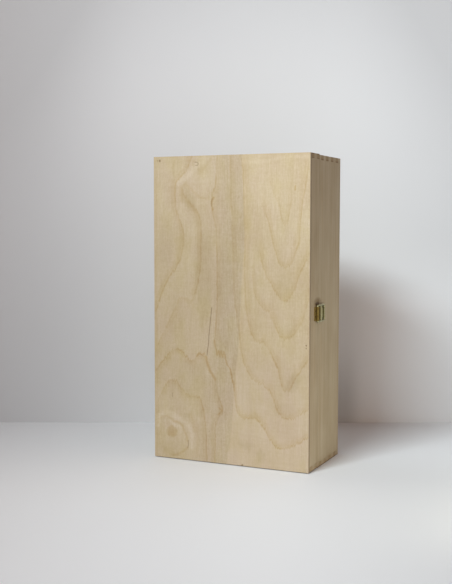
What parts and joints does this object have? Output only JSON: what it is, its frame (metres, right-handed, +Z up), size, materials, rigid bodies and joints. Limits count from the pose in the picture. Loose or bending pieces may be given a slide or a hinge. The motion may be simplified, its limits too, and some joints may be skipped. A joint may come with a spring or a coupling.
{
  "type": "wooden wine box",
  "caption": "Upright comb-jointed wooden gift box for wine bottles, with plywood faces, a divider, a side-hinged lid and a brass wire-bail latch.",
  "frame": {"origin": "middle of the bottom face that the box stands on, centred on the wooden box's width and depth", "axes": "+Z up the box's height, -Y out of the front panel (the lid), +X towards the latch side, -X towards the hinge side"},
  "size_m": [0.1934, 0.1002, 0.3408],
  "materials": {
    "panel_plywood": "unfinished birch plywood, sanded, with a rotary-cut face veneer",
    "frame_board": "unfinished solid softwood board, sanded",
    "divider_board": "unfinished solid board",
    "hinge_brass": "brass-plated rolled sheet, satin",
    "latch_brass": "brass-plated sheet and wire, slightly tarnished",
    "nail_steel": "brass-plated round-head nails and pins"
  },
  "bodies": {
    "base": {"back_panel": "panel_plywood", "base_left_side": "frame_board", "base_right_side": "frame_board", "base_top_end": "frame_board", "base_bottom_end": "frame_board", "bottle_divider": "divider_board", "upper_hinge_base_leaf": "hinge_brass", "upper_hinge_pin": "nail_steel", "lower_hinge_base_leaf": "hinge_brass", "lower_hinge_pin": "nail_steel", "hinge_base_nails": "nail_steel", "catch_plate": "latch_brass", "catch_plate_nails": "nail_steel"},
    "lid": {"front_panel": "panel_plywood", "lid_left_side": "frame_board", "lid_right_side": "frame_board", "lid_top_end": "frame_board", "lid_bottom_end": "frame_board", "upper_hinge_lid_leaf": "hinge_brass", "lower_hinge_lid_leaf": "hinge_brass", "hinge_lid_nails": "nail_steel", "latch_plate": "latch_brass", "latch_plate_nails": "nail_steel"},
    "bail": {"latch_bail": "latch_brass"}
  },
  "joints": [
    {"name": "lid_hinge", "type": "hinge", "parent": "base", "child": "lid", "pos_m": [-0.09495, -0.0213, 0.17], "axis": [0, 0, -1], "range_deg": [0, 180]},
    {"name": "bail_pivot", "type": "hinge", "parent": "lid", "child": "bail", "pos_m": [0.0949, -0.0296, 0.17], "axis": [0, 0, -1], "range_deg": [0, 180]}
  ]
}
